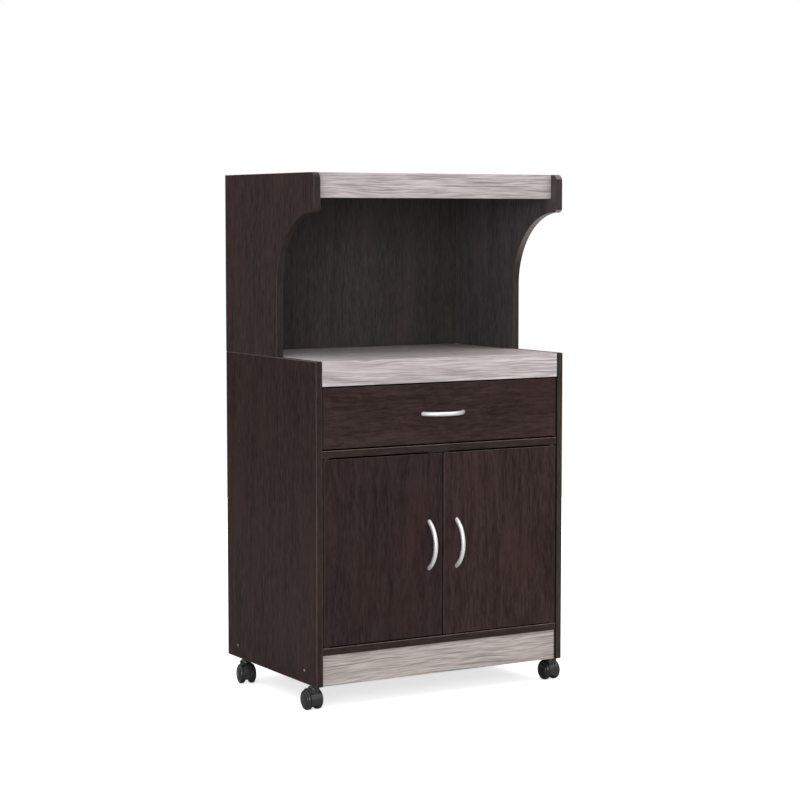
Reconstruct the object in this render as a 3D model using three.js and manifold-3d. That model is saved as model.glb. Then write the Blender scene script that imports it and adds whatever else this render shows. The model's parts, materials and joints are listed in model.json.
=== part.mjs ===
// Microwave cart on four casters: a cupboard with a drawer and two inset doors below, and an open
// hutch with curved sides above it. Dark boards with light wood-grain fascias and shelf tops.
// Millimetres, +Z up. The front faces -Y. The origin is on the floor under the middle of the cart.

import * as THREE from 'three';
import { mergeVertices } from 'three/addons/utils/BufferGeometryUtils.js';
import Module from 'manifold-3d';

const wasm = await Module();
wasm.setup();

// ---- Driving dimensions -------------------------------------------------------------------------

// Carcass
const cartWidth = 600;
const cartDepth = 410;
const boardThickness = 15;
const backThickness = 3;
const lowerSideHeight = 663;
const kickHeight = 64;
const kickSetback = 5;
const shelfFasciaHeight = 51;
const frontRailWidth = 70;
const backRailWidth = 90;
const railRise = 19.5;

// Hutch
const hutchHeight = 379;
const hutchSideDepth = 239;
const noseHeight = 76;
const noseSetback = 5.5;
const noseTopRadius = 14;
const noseLowerRadius = 7;
const curveHeight = 157;
const hutchFasciaHeight = 51;
const hutchFasciaSetback = 20.5;

// Drawer
const drawerFrontHeight = 124;
const frontGap = 3;
const drawerBoxHeight = 90;
const drawerBoxDepth = 350;
const drawerBoxRise = 10;
const drawerSideThickness = 12;
const drawerBottomThickness = 3;
const grooveDepth = 5;
const grooveRise = 10;
const grooveClearance = 0.3;

// Drawer runners
const runnerSpace = 12.5;
const runnerHeight = 32;
const runnerSheet = 1.5;
const runnerLip = 9;
const runnerDrop = 6;
const runnerFrontGap = 2;
const runnerLength = 345;
const sliderHeight = 20;
const sliderClearance = 1;

// Doors and their corner pivots
const pivotInset = 6;
const pivotPinDiameter = 4;
const pivotPinReach = 7;
const pivotPlateThickness = 1.5;
const pivotPlateWidth = 14;
const pivotPlateLength = 40;
const bushDiameter = 8;
const bushLength = 9;
const runningClearance = 0.3;
const catchWidth = 46;
const catchDepth = 15;
const catchHeight = 12;
const catchGap = 1.5;

// Bow handles
const handleSpacing = 96;
const handleRise = 26;
const handleDiameter = 9;
const doorHandleInset = 32;

// Adjustable shelf and its pins
const innerShelfSetback = 45;
const innerShelfBackGap = 7;
const innerShelfSideGap = 2;
const pinDiameter = 5;
const pinCollarDiameter = 8;
const pinCollarThickness = 1.5;
const pinSunk = 9;
const pinReach = 8;
const pinRowRise = 186;
const pinRowSpacing = 64;
const pinRows = [-1, 0, 1];
const pinEndInset = 45;

// Casters
const wheelDiameter = 42;
const hubDiameter = 18;
const capDiameter = 14;
const innerCrownDepth = 8;
const treadWidth = 3.2;
const outerCrownDepth = 7.2;
const hubGap = 2;
const wheelBoreDepth = 9;
const axleDiameter = 5;
const wheelGap = 0.8;
const fenderThickness = 1.8;
const fenderWidth = 27;
const fenderEnd = 120;
const hoodClearance = 11;
const neckDiameter = 24;
const neckRise = 5.5;
const swivelGap = 0.3;
const stemFlangeDiameter = 13;
const stemFlangeThickness = 0.6;
const stemDiameter = 8;
const stemLength = 30;
const stemPinDiameter = 5;
const stemPinLength = 18;
const casterTrail = 8;
const frontCasterInset = 28;
const backCasterInset = 70;
const backCasterTurn = 165;

// Facets of round pieces
const wheelSides = 24;
const crownSteps = 3;
const pinSides = 12;
const neckSides = 20;
const curveSteps = 14;
const handleSteps = 16;
const handleSides = 10;

// ---- Levels and planes that follow from them ----------------------------------------------------

const halfWidth = cartWidth / 2;
const innerX = halfWidth - boardThickness;
const carcassBackY = cartDepth - backThickness;
const handleReach = handleRise + handleDiameter / 2;

const fenderRadius = wheelDiameter / 2 + wheelGap + fenderThickness;
const hoodTopZ = wheelDiameter / 2 + fenderRadius + neckRise;
const sideBottomZ = hoodTopZ + swivelGap + stemFlangeThickness;
const shelfTopZ = sideBottomZ + lowerSideHeight;
const fasciaBottomZ = shelfTopZ - shelfFasciaHeight;
const drawerTopZ = fasciaBottomZ - frontGap;
const drawerBottomZ = drawerTopZ - drawerFrontHeight;
const dividerTopZ = drawerBottomZ - frontGap;
const dividerBottomZ = dividerTopZ - boardThickness;
const bottomPanelZ = sideBottomZ + kickHeight;
const cupboardFloorZ = bottomPanelZ + boardThickness;
const hutchTopZ = shelfTopZ + hutchHeight;
const hutchFasciaY = noseSetback + hutchFasciaSetback;

// ---- Materials ----------------------------------------------------------------------------------

const finish = {
  darkBoard: { color: 0x352a28, roughness: 0.5, metalness: 0 },
  greyBoard: { color: 0xb6adaa, roughness: 0.6, metalness: 0 },
  drawerBoard: { color: 0x3a2f2c, roughness: 0.6, metalness: 0 },
  backBoard: { color: 0x332927, roughness: 0.7, metalness: 0 },
  satinSteel: { color: 0xd0d0d2, roughness: 0.3, metalness: 0.9 },
  zincSteel: { color: 0xa8acb0, roughness: 0.4, metalness: 0.9 },
  whiteSteel: { color: 0xe8e6e0, roughness: 0.4, metalness: 0.1 },
  blackPlastic: { color: 0x1c1c1e, roughness: 0.45, metalness: 0 },
  greyPlastic: { color: 0x6a6a6c, roughness: 0.6, metalness: 0 },
};

function piece(name, geometry, look) {
  const mesh = new THREE.Mesh(geometry, new THREE.MeshStandardMaterial(finish[look]));
  mesh.name = name;
  return mesh;
}

// ---- Shape helpers ------------------------------------------------------------------------------

// A rectangular board between two X, two Y and two Z planes, so that boards that meet share a plane.
function slab(x, y, z) {
  const geometry = new THREE.BoxGeometry(1, 1, 1);
  const at = geometry.attributes.position;
  for (let i = 0; i < at.count; i++) {
    const side = (value, range) => (value < 0 ? range[0] : range[1]);
    at.setXYZ(i, side(at.getX(i), x), side(at.getY(i), y), side(at.getZ(i), z));
  }
  return geometry;
}

// A plate between two X planes whose outline is drawn in Y and Z.
function plateAcrossX(outline, x) {
  const options = { depth: 1, bevelEnabled: false, curveSegments: curveSteps };
  const geometry = new THREE.ExtrudeGeometry(outline, options);
  const at = geometry.attributes.position;
  for (let i = 0; i < at.count; i++) {
    at.setXYZ(i, at.getZ(i) < 0.5 ? x[0] : x[1], at.getX(i), at.getY(i));
  }
  return geometry;
}

// A bar between two Y planes whose section is drawn in X and Z.
function barAlongY(section, y) {
  const geometry = new THREE.ExtrudeGeometry(section, { depth: 1, bevelEnabled: false });
  const at = geometry.attributes.position;
  for (let i = 0; i < at.count; i++) {
    at.setXYZ(i, at.getX(i), at.getZ(i) < 0.5 ? y[1] : y[0], at.getY(i));
  }
  return geometry;
}

function outlineOf(points) {
  return new THREE.Shape(points.map(([u, v]) => new THREE.Vector2(u, v)));
}

// A turned piece: the profile is [radius, height] pairs from the axis back to the axis.
function turned(profile, sides, start = 0) {
  const points = profile.map(([radius, height]) => new THREE.Vector2(radius, height));
  return new THREE.LatheGeometry(points, sides, start);
}

function rod(radius, low, high, sides = pinSides) {
  return turned([[0, low], [radius, low], [radius, high], [0, high]], sides);
}

const alongZ = (geometry) => geometry.rotateX(Math.PI / 2);
const alongX = (geometry) => geometry.rotateZ(-Math.PI / 2);

function solidOf(geometry) {
  const bare = geometry.index ? geometry.toNonIndexed() : geometry.clone();
  bare.deleteAttribute('normal');
  bare.deleteAttribute('uv');
  const merged = mergeVertices(bare, 1e-4);
  return new wasm.Manifold(new wasm.Mesh({
    numProp: 3,
    vertProperties: merged.attributes.position.array,
    triVerts: new Uint32Array(merged.index.array),
  }));
}

function geometryOf(solid) {
  const mesh = solid.getMesh();
  const geometry = new THREE.BufferGeometry();
  geometry.setAttribute('position', new THREE.BufferAttribute(mesh.vertProperties, 3));
  geometry.setIndex(new THREE.BufferAttribute(mesh.triVerts, 1));
  geometry.computeVertexNormals();
  return geometry;
}

function cut(geometry, tools) {
  let solid = solidOf(geometry);
  for (const tool of tools) solid = solid.subtract(solidOf(tool));
  return geometryOf(solid);
}

function join(pieces) {
  let solid = solidOf(pieces[0]);
  for (const other of pieces.slice(1)) solid = solid.add(solidOf(other));
  return geometryOf(solid);
}

// Left and right copies of a range of X.
const onSide = (side, near, far) => (side < 0 ? [-far, -near] : [near, far]);
const sides = [['left', -1], ['right', 1]];
const ends = [['top', 1], ['bottom', -1]];

// ---- Cart: the front plane of the cupboard is y = 0 inside this group ------------------------------

const cart = new THREE.Group();
cart.position.y = handleReach - (cartDepth + handleReach) / 2;

// Caster places, shared by the side boards, the stems and the swivels.
const casterX = halfWidth - boardThickness / 2;
const casterPlaces = [];
for (const [label, side] of sides) {
  casterPlaces.push({ name: `front_${label}`, side, y: frontCasterInset, turn: 0 });
  const turn = -side * backCasterTurn;
  casterPlaces.push({ name: `back_${label}`, side, y: cartDepth - backCasterInset, turn });
}

// Shelf pins: rows of holes, with the pins in the middle row.
const pinY = [innerShelfSetback + pinEndInset, carcassBackY - innerShelfBackGap - pinEndInset];
const pinZ = cupboardFloorZ + pinRowRise;

function lowerSide(side) {
  const board = slab(onSide(side, innerX, halfWidth), [0, cartDepth], [sideBottomZ, shelfTopZ]);
  const holes = [];
  for (const place of casterPlaces.filter((caster) => caster.side === side)) {
    const radius = stemDiameter / 2 + runningClearance;
    const hole = alongZ(rod(radius, -1, stemLength + runningClearance));
    holes.push(hole.translate(side * casterX, place.y, sideBottomZ));
  }
  for (const row of pinRows) {
    for (const y of pinY) {
      const radius = pinDiameter / 2 + runningClearance;
      const hole = alongX(rod(radius, -1, pinSunk + runningClearance));
      if (side < 0) hole.rotateZ(Math.PI);
      holes.push(hole.translate(side * innerX, y, pinZ + row * pinRowSpacing));
    }
  }
  return cut(board, holes);
}

// The hutch side: straight at the back, a concave quarter curve up to a nose with two round corners.
function hutchSideOutline() {
  const footY = cartDepth - hutchSideDepth;
  const noseFootZ = hutchTopZ - noseHeight;
  const curveEndY = noseSetback + noseLowerRadius;
  const curveTopZ = noseFootZ - noseLowerRadius / 2;
  const outline = new THREE.Shape();
  outline.moveTo(cartDepth, shelfTopZ);
  outline.lineTo(cartDepth, hutchTopZ);
  outline.lineTo(noseSetback + noseTopRadius, hutchTopZ);
  const topZ = hutchTopZ - noseTopRadius;
  outline.absarc(noseSetback + noseTopRadius, topZ, noseTopRadius, Math.PI / 2, Math.PI, false);
  outline.lineTo(noseSetback, noseFootZ + noseLowerRadius);
  outline.quadraticCurveTo(noseSetback, noseFootZ, curveEndY, curveTopZ);
  const reach = footY - curveEndY;
  const centreZ = curveTopZ - curveHeight;
  outline.absellipse(curveEndY, centreZ, reach, curveHeight, Math.PI / 2, 0, true);
  outline.lineTo(footY, shelfTopZ);
  outline.closePath();
  return outline;
}

function carcass() {
  const group = new THREE.Group();
  const across = [-innerX, innerX];
  for (const [label, side] of sides) {
    const x = onSide(side, innerX, halfWidth);
    group.add(piece(`lower_side_${label}`, lowerSide(side), 'darkBoard'));
    group.add(piece(`hutch_side_${label}`, plateAcrossX(hutchSideOutline(), x), 'darkBoard'));
  }
  const boards = [
    ['hutch_fascia', [hutchFasciaY, hutchFasciaY + boardThickness],
      [hutchTopZ - hutchFasciaHeight, hutchTopZ], 'greyBoard'],
    ['hutch_top', [hutchFasciaY + boardThickness, carcassBackY],
      [hutchTopZ - boardThickness, hutchTopZ], 'greyBoard'],
    ['hutch_back', [carcassBackY, cartDepth], [shelfTopZ, hutchTopZ], 'backBoard'],
    ['shelf_fascia', [0, boardThickness], [fasciaBottomZ, shelfTopZ], 'greyBoard'],
    ['microwave_shelf', [boardThickness, carcassBackY],
      [shelfTopZ - boardThickness, shelfTopZ], 'greyBoard'],
    ['divider', [0, carcassBackY], [dividerBottomZ, dividerTopZ], 'darkBoard'],
    ['bottom_panel', [0, carcassBackY], [bottomPanelZ, cupboardFloorZ], 'darkBoard'],
    ['kick_board', [kickSetback, kickSetback + boardThickness],
      [sideBottomZ, bottomPanelZ], 'greyBoard'],
    ['lower_back', [carcassBackY, cartDepth], [bottomPanelZ, shelfTopZ], 'backBoard'],
  ];
  for (const [name, y, z, look] of boards) group.add(piece(name, slab(across, y, z), look));

  const railZ = [sideBottomZ + railRise, sideBottomZ + railRise + boardThickness];
  const frontRailY = kickSetback + boardThickness;
  const frontRail = slab(across, [frontRailY, frontRailY + frontRailWidth], railZ);
  group.add(piece('front_rail', frontRail, 'darkBoard'));
  const backRail = slab(across, [carcassBackY - backRailWidth, carcassBackY], railZ);
  group.add(piece('back_rail', backRail, 'darkBoard'));
  return group;
}

function innerShelf() {
  const group = new THREE.Group();
  const reach = innerX - innerShelfSideGap;
  const restZ = pinZ + pinDiameter / 2;
  const y = [innerShelfSetback, carcassBackY - innerShelfBackGap];
  const board = slab([-reach, reach], y, [restZ, restZ + boardThickness]);
  group.add(piece('inner_shelf', board, 'darkBoard'));
  const profile = [
    [0, -pinSunk],
    [pinDiameter / 2, -pinSunk],
    [pinDiameter / 2, 0],
    [pinCollarDiameter / 2, 0],
    [pinCollarDiameter / 2, pinCollarThickness],
    [pinDiameter / 2, pinCollarThickness],
    [pinDiameter / 2, pinReach],
    [0, pinReach],
  ];
  for (const [label, side] of sides) {
    for (const [index, depth] of ['front', 'back'].entries()) {
      const pin = piece(`shelf_pin_${depth}_${label}`, turned(profile, pinSides), 'zincSteel');
      pin.rotation.z = (side * Math.PI) / 2;
      pin.position.set(side * innerX, pinY[index], pinZ);
      group.add(pin);
    }
  }
  return group;
}

// ---- Drawer with its runners ------------------------------------------------------------------------

const boxX = innerX - runnerSpace;
const boxBottomZ = drawerBottomZ + drawerBoxRise;
const boxBackY = boardThickness + drawerBoxDepth;
const runnerBottomZ = boxBottomZ - runnerDrop;

// The cabinet half of a runner is a channel that opens towards the drawer.
function cabinetRunner(side) {
  const top = runnerBottomZ + runnerHeight;
  const web = innerX - runnerSheet;
  const lip = innerX - runnerLip;
  const points = [
    [innerX, runnerBottomZ],
    [innerX, top],
    [lip, top],
    [lip, top - runnerSheet],
    [web, top - runnerSheet],
    [web, runnerBottomZ + runnerSheet],
    [lip, runnerBottomZ + runnerSheet],
    [lip, runnerBottomZ],
  ];
  const start = boardThickness + runnerFrontGap;
  const section = outlineOf(points.map(([x, z]) => [side * x, z]));
  return barAlongY(section, [start, start + runnerLength]);
}

// The drawer half is a tee on the drawer side whose tongue slides in the channel.
function drawerRunner(side) {
  const top = boxBottomZ + sliderHeight;
  const web = boxX + runnerSheet;
  const tongue = innerX - runnerSheet - sliderClearance;
  const low = (boxBottomZ + top - runnerSheet) / 2;
  const points = [
    [boxX, boxBottomZ],
    [web, boxBottomZ],
    [web, low],
    [tongue, low],
    [tongue, low + runnerSheet],
    [web, low + runnerSheet],
    [web, top],
    [boxX, top],
  ];
  const start = boardThickness + runnerFrontGap;
  const section = outlineOf(points.map(([x, z]) => [side * x, z]));
  return barAlongY(section, [start, start + runnerLength]);
}

function drawer() {
  const group = new THREE.Group();
  const boxTopZ = boxBottomZ + drawerBoxHeight;
  const bottomZ = boxBottomZ + grooveRise;
  const bottomTopZ = bottomZ + drawerBottomThickness;
  const innerBoxX = boxX - drawerSideThickness;
  const boxY = [boardThickness, boxBackY];

  const seatX = innerBoxX + grooveDepth + grooveClearance;
  const seatY = boardThickness - grooveDepth - grooveClearance;
  const seatZ = [bottomZ - grooveClearance, bottomTopZ + grooveClearance];
  const groove = slab([-seatX, seatX], [seatY, boxBackY + 1], seatZ);

  const frontX = innerX - frontGap;
  const front = slab([-frontX, frontX], [0, boardThickness], [drawerBottomZ, drawerTopZ]);
  group.add(piece('drawer_front', cut(front, [groove]), 'darkBoard'));
  for (const [label, side] of sides) {
    const board = slab(onSide(side, innerBoxX, boxX), boxY, [boxBottomZ, boxTopZ]);
    group.add(piece(`drawer_side_${label}`, cut(board, [groove]), 'drawerBoard'));
    group.add(piece(`drawer_runner_${label}`, drawerRunner(side), 'whiteSteel'));
  }
  const backY = [boxBackY - drawerSideThickness, boxBackY];
  const back = slab([-innerBoxX, innerBoxX], backY, [bottomTopZ, boxTopZ]);
  group.add(piece('drawer_back', back, 'drawerBoard'));
  const bottomX = innerBoxX + grooveDepth;
  const bottomY = [boardThickness - grooveDepth, boxBackY];
  const bottom = slab([-bottomX, bottomX], bottomY, [bottomZ, bottomTopZ]);
  group.add(piece('drawer_bottom', bottom, 'backBoard'));

  const handle = piece('drawer_handle', bowHandle(), 'satinSteel');
  handle.position.z = (drawerBottomZ + drawerTopZ) / 2;
  group.add(handle);
  return group;
}

// ---- Bow handle -------------------------------------------------------------------------------------

// A round bar bent to one arc along X, with its two feet cut flat on the plane y = 0.
class HandleArc extends THREE.Curve {
  getPoint(t, target = new THREE.Vector3()) {
    const half = handleSpacing / 2;
    const radius = (half * half + handleRise * handleRise) / (2 * handleRise);
    const sweep = Math.asin(half / radius) + handleDiameter / radius;
    const angle = (2 * t - 1) * sweep;
    const y = radius - handleRise - radius * Math.cos(angle);
    return target.set(radius * Math.sin(angle), y, 0);
  }
}

function bowHandle() {
  const section = new THREE.Shape();
  section.absarc(0, 0, handleDiameter / 2, 0, 2 * Math.PI, false);
  const bar = new THREE.ExtrudeGeometry(section, {
    steps: handleSteps,
    curveSegments: handleSides,
    extrudePath: new HandleArc(),
  });
  const reach = handleSpacing;
  return cut(bar, [slab([-reach, reach], [0, reach], [-reach, reach])]);
}

// ---- Doors on corner pivots ---------------------------------------------------------------------------

const doorWidth = (2 * innerX - 3 * frontGap) / 2;
const doorBottomZ = cupboardFloorZ + frontGap;
const doorTopZ = dividerBottomZ - frontGap;
const pivotX = innerX - frontGap - pivotInset;
const doorEdgeZ = { top: doorTopZ, bottom: doorBottomZ };

// Inside a door's group the origin is on the pivot line, at floor level.
function door(label, side) {
  const group = new THREE.Group();
  group.position.set(side * pivotX, pivotInset, 0);
  const x = onSide(side, pivotInset - doorWidth, pivotInset);
  const y = [-pivotInset, boardThickness - pivotInset];
  const hole = bushDiameter / 2 + runningClearance;
  const holes = ends.map(([end, up]) => {
    const depth = bushLength + runningClearance;
    return alongZ(rod(hole, Math.min(up, -up * depth), Math.max(up, -up * depth)))
      .translate(0, 0, doorEdgeZ[end]);
  });
  const board = slab(x, y, [doorBottomZ, doorTopZ]);
  group.add(piece(`door_${label}`, cut(board, holes), 'darkBoard'));

  for (const [end, up] of ends) {
    const bore = pivotPinDiameter / 2 + runningClearance;
    const profile = [
      [bore, 0],
      [bushDiameter / 2, 0],
      [bushDiameter / 2, bushLength],
      [bore, bushLength],
      [bore, 0],
    ];
    const bush = piece(`pivot_bush_${end}_${label}`, turned(profile, pinSides), 'greyPlastic');
    bush.rotation.x = Math.PI / 2;
    bush.position.z = up > 0 ? doorEdgeZ[end] - bushLength : doorEdgeZ[end];
    group.add(bush);
  }

  const handle = piece(`door_handle_${label}`, bowHandle(), 'satinSteel');
  handle.rotation.y = Math.PI / 2;
  const fromPivot = doorWidth - pivotInset - doorHandleInset;
  handle.position.set(-side * fromPivot, -pivotInset, (doorBottomZ + doorTopZ) / 2);
  group.add(handle);
  return group;
}

// A plate under the divider or on the cupboard floor, with the pin that the door's bush turns on.
function pivotPlate(side, up) {
  const face = up > 0 ? dividerBottomZ : cupboardFloorZ;
  const inner = face - up * pivotPlateThickness;
  const tip = face - up * (frontGap + pivotPinReach);
  const near = pivotX - pivotPlateWidth + pivotInset;
  const plate = slab(
    onSide(side, near, pivotX + pivotInset),
    [frontGap / 2, frontGap / 2 + pivotPlateLength],
    [Math.min(face, inner), Math.max(face, inner)],
  );
  const root = (face + inner) / 2;
  const pin = alongZ(rod(pivotPinDiameter / 2, Math.min(root, tip), Math.max(root, tip)));
  return join([plate, pin.translate(side * pivotX, pivotInset, 0)]);
}

function cupboardFittings() {
  const group = new THREE.Group();
  for (const [label, side] of sides) {
    for (const [end, up] of ends) {
      group.add(piece(`pivot_plate_${end}_${label}`, pivotPlate(side, up), 'zincSteel'));
    }
    group.add(piece(`cabinet_runner_${label}`, cabinetRunner(side), 'whiteSteel'));
  }
  const catchY = boardThickness + catchGap;
  const block = slab(
    [-catchWidth / 2, catchWidth / 2],
    [catchY, catchY + catchDepth],
    [dividerBottomZ - catchHeight, dividerBottomZ],
  );
  group.add(piece('door_catch', block, 'greyPlastic'));
  return group;
}

// ---- Casters ------------------------------------------------------------------------------------------

const axleZ = wheelDiameter / 2;
const quarterTurns = Array.from({ length: crownSteps + 1 }, (_, i) => ((Math.PI / 2) * i) / crownSteps);

// The stem stands in the side board: a collar on the board's lower edge, and a pin down into the hood.
function stem() {
  const flangeLow = sideBottomZ - stemFlangeThickness;
  const profile = [
    [0, flangeLow - stemPinLength],
    [stemPinDiameter / 2, flangeLow - stemPinLength],
    [stemPinDiameter / 2, flangeLow],
    [stemFlangeDiameter / 2, flangeLow],
    [stemFlangeDiameter / 2, sideBottomZ],
    [stemDiameter / 2, sideBottomZ],
    [stemDiameter / 2, sideBottomZ + stemLength],
    [0, sideBottomZ + stemLength],
  ];
  return turned(profile, pinSides);
}

// The curve of a wheel's inner face from its hub to its tread, as radius and distance from the hub's face.
function innerCrown(radius) {
  const rise = (wheelDiameter - hubDiameter) / 2;
  return quarterTurns.map((turn) => [
    radius - rise * (1 - Math.sin(turn)),
    innerCrownDepth * (1 - Math.cos(turn)),
  ]);
}

// The hood: a core that fills the space between the wheels, a fender over their treads, a neck round the
// stem's pin, and the axle. It ends level, clear of the floor.
function hood() {
  const wheelSpace = fenderRadius - fenderThickness;
  const crown = innerCrown(wheelDiameter / 2).map(([radius, reach]) => [radius, hubGap + reach - wheelGap]);
  const half = [[0, crown[0][1]], ...crown, [wheelSpace + fenderThickness / 2, crown[crownSteps][1]]];
  const farHalf = half.map(([radius, reach]) => [radius, -reach]);
  const core = turned([...farHalf, ...half.reverse()], wheelSides, Math.PI / wheelSides);
  alongX(core).translate(0, casterTrail, axleZ);

  const start = Math.PI - THREE.MathUtils.degToRad(fenderEnd);
  const end = Math.PI + Math.asin((axleZ - hoodClearance) / fenderRadius);
  const fender = new THREE.Shape();
  fender.absarc(casterTrail, axleZ, fenderRadius, start, end, false);
  fender.absarc(casterTrail, axleZ, wheelSpace, end, start, true);
  fender.closePath();

  const wheelsPlace = alongX(rod(wheelSpace, -fenderWidth, fenderWidth, wheelSides));
  wheelsPlace.translate(0, casterTrail, axleZ);
  const neck = cut(alongZ(rod(neckDiameter / 2, axleZ, hoodTopZ, neckSides)), [wheelsPlace]);
  const axleReach = hubGap + wheelBoreDepth - runningClearance;
  const axle = alongX(rod(axleDiameter / 2, -axleReach, axleReach)).translate(0, casterTrail, axleZ);
  const body = join([
    core,
    plateAcrossX(fender, [-fenderWidth / 2, fenderWidth / 2]),
    neck,
    axle,
  ]);

  const pinHole = stemPinDiameter / 2 + runningClearance;
  const pinEnd = sideBottomZ - stemFlangeThickness - stemPinLength - runningClearance;
  const reach = [-wheelDiameter, wheelDiameter];
  const below = slab(reach, reach, [-wheelDiameter, hoodClearance]);
  return cut(body, [alongZ(rod(pinHole, pinEnd, hoodTopZ + 1)), below]);
}

// A wheel: a narrow tread between a domed outer face and an inner face that curves in to a blind bore.
function wheel() {
  const flatToFlat = 1 / Math.cos(Math.PI / wheelSides);
  const radius = (wheelDiameter / 2) * flatToFlat;
  const bore = axleDiameter / 2 + runningClearance;
  const treadEnd = innerCrownDepth + treadWidth;
  const outerRise = (wheelDiameter - capDiameter) / 2;
  const outerCrown = quarterTurns.map((turn) => [
    radius - outerRise * (1 - Math.cos(turn)),
    treadEnd + outerCrownDepth * Math.sin(turn),
  ]);
  const profile = [
    [0, wheelBoreDepth],
    [bore, wheelBoreDepth],
    [bore, 0],
    ...innerCrown(radius),
    ...outerCrown,
    [0, treadEnd + outerCrownDepth],
  ];
  return turned(profile, wheelSides, Math.PI / wheelSides);
}

function caster(place) {
  const group = new THREE.Group();
  group.position.set(place.side * casterX, place.y, 0);
  group.rotation.z = THREE.MathUtils.degToRad(place.turn);
  group.add(piece(`caster_hood_${place.name}`, hood(), 'blackPlastic'));
  for (const [label, side] of sides) {
    const disc = piece(`caster_wheel_${label}_${place.name}`, wheel(), 'blackPlastic');
    disc.rotation.z = (-side * Math.PI) / 2;
    disc.position.set(side * hubGap, casterTrail, axleZ);
    group.add(disc);
  }
  return group;
}

// ---- Assembly -------------------------------------------------------------------------------------------

cart.add(carcass());
cart.add(innerShelf());
cart.add(drawer());
cart.add(cupboardFittings());
for (const [label, side] of sides) cart.add(door(label, side));
for (const place of casterPlaces) {
  const post = piece(`caster_stem_${place.name}`, stem(), 'zincSteel');
  post.rotation.x = Math.PI / 2;
  post.position.set(place.side * casterX, place.y, 0);
  cart.add(post);
  cart.add(caster(place));
}

const group = new THREE.Group();
group.add(cart);

export default group;
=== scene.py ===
# Microwave cart: laminated boards, bow handles, drawer runners, door pivots and twin-wheel casters,
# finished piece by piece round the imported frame. Metres, +Z up, the front faces -Y.

import json
import math
from contextlib import contextmanager

import bpy
from mathutils import Matrix, Vector

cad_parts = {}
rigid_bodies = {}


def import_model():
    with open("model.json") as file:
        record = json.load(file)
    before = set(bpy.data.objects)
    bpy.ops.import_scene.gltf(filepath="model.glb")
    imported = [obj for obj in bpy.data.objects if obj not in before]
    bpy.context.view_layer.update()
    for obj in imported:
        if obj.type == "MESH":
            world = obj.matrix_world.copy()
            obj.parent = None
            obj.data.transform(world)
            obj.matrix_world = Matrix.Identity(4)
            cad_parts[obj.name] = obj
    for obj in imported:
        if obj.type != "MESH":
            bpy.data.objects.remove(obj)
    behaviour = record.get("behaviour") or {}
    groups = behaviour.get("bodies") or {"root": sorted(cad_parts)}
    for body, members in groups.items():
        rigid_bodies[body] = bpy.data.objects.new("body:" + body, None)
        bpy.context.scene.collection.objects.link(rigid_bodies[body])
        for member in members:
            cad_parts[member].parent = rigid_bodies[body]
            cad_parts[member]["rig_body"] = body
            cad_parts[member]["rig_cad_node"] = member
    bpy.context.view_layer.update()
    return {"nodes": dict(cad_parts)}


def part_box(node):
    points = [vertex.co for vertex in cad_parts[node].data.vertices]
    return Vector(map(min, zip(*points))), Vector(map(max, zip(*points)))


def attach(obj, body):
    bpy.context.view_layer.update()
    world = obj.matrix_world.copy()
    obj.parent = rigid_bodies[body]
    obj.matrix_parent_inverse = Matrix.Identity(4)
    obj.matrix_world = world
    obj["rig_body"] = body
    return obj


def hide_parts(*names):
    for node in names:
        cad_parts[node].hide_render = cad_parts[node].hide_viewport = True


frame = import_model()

MM = 0.001
X, Y, Z = Vector((1, 0, 0)), Vector((0, 1, 0)), Vector((0, 0, 1))
SIDES = (("left", -1), ("right", 1))
ENDS = (("top", 1), ("bottom", -1))

# ---- Sizes of what the frame's boxes don't tell ----------------------------------------------

# How far a cutter reaches past the face that it cuts, and how near two points are merged.
PAST = 1 * MM
MERGE = 0.001 * MM

# How far edges are rounded over.
EDGE_EASE = 0.9 * MM
SIDE_EASE = 1.6 * MM
SILL_EASE = 1.6 * MM
DRAWER_SIDE_EASE = 0.8 * MM
SHEET_EASE = 0.3 * MM
METAL_EASE = 0.25 * MM
TURNED_EASE = 0.3 * MM
POLE_EASE = 0.2 * MM
RUNNER_EASE = 0.45 * MM
ROLLER_EASE = 0.4 * MM
PLASTIC_EASE = 0.6 * MM
HOOD_EASE = 0.5 * MM

CURVE_HEIGHT = 157 * MM
CURVE_FOOT_DEPTH = 239 * MM
NOSE_HEIGHT = 76 * MM
NOSE_TOP_RADIUS = 14 * MM
NOSE_LOWER_RADIUS = 9 * MM
NOSE_FLAT = 7 * MM
NOSE_DROP = 3.5 * MM
CURVE_SIDES = 160
CURVE_MERGE = 0.02 * MM

PIN_ROW_SPACING = 64 * MM
PIN_HOLE_RADIUS = 2.7 * MM
PIN_HOLE_DEPTH = 9.3 * MM
PIN_RADIUS = 2.5 * MM
PIN_COLLAR = 1.5 * MM
STEM_HOLE_RADIUS = 4.3 * MM
STEM_HOLE_DEPTH = 30.3 * MM

HANDLE_SPACING = 96 * MM
HANDLE_RISE = 26 * MM
HANDLE_RADIUS = 4.5 * MM

GROOVE_SLACK = 0.3 * MM
GROOVE_RUN_OUT = 5 * MM

RUNNER_SHEET = 1.5 * MM
ROLLER_RADIUS = 6.4 * MM
ROLLER_WIDTH = 5.6 * MM
ROLLER_INSET = 12 * MM
ROLLER_GAP = 0.2 * MM
FIXED_ROLLER_GAP = 0.3 * MM
MOVING_ROLLER_SHIFT = 0.9 * MM
ROLLER_STEPS = ((1.2, 0.0), (0.5, -0.5))

BUSH_HOLE_RADIUS = 4.3 * MM
BUSH_DEPTH = 9.3 * MM
BUSH_SLACK = 0.3 * MM
PIVOT_PIN_RADIUS = 2 * MM
PIVOT_PIN_ROUND = 0.6 * MM
PIVOT_CORNER = 3 * MM
PIVOT_SCREW_SHARES = (0.5, 0.84)

# The steel disc on each door that the catch holds, from the meeting edge and the door's top.
STRIKE_RADIUS = 6 * MM
STRIKE_HEIGHT = 0.9 * MM
STRIKE_INSET = 14 * MM
STRIKE_DROP = 9 * MM

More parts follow.
